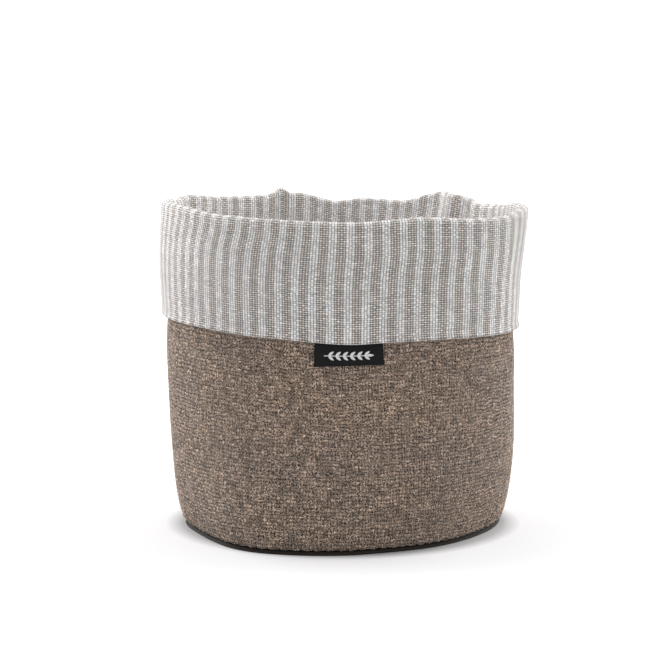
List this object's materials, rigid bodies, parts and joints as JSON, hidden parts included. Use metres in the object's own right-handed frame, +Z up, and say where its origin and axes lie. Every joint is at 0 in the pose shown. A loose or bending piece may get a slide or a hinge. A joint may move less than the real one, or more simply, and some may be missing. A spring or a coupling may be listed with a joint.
{
  "type": "fabric storage bin",
  "caption": "Round soft storage bin of rustic linen with a striped lining turned down as a deep cuff, a dark base panel and a woven label that lifts.",
  "frame": {"origin": "middle of the underside, on the surface the bin stands on", "axes": "+Z up out of the mouth, -Y towards the front, where the label is, +X to the right of someone facing the label"},
  "size_m": [0.2206, 0.2206, 0.194],
  "materials": {
    "rustic_linen": "coarse, slubby plain weave of unbleached linen",
    "striped_linen": "plain weave in white and natural stripes, matt",
    "fleece_interlining": "off-white needled fleece",
    "grey_board": "smooth grey board",
    "dark_panel": "dark brown, fine-grained, matt",
    "natural_thread": "twisted sewing thread",
    "label_ribbon": "black woven ribbon with a light woven sprig"
  },
  "bodies": {
    "bin": {"outer_wall": "rustic_linen", "base_panel": "dark_panel", "wall_interlining": "fleece_interlining", "base_stiffener": "grey_board", "lining_wall": "striped_linen", "lining_base": "striped_linen", "base_seam_thread": "natural_thread", "lining_seam_thread": "natural_thread", "hem_thread": "natural_thread", "outer_side_seam_thread": "natural_thread", "lining_side_seam_thread": "natural_thread", "label_tail": "label_ribbon"},
    "label": {"label_flap": "label_ribbon"}
  },
  "joints": [
    {"name": "label_lift", "type": "hinge", "parent": "bin", "child": "label", "pos_m": [0, -0.10688, 0.1223], "axis": [-1, 0, 0], "range_deg": [0, 90]}
  ]
}
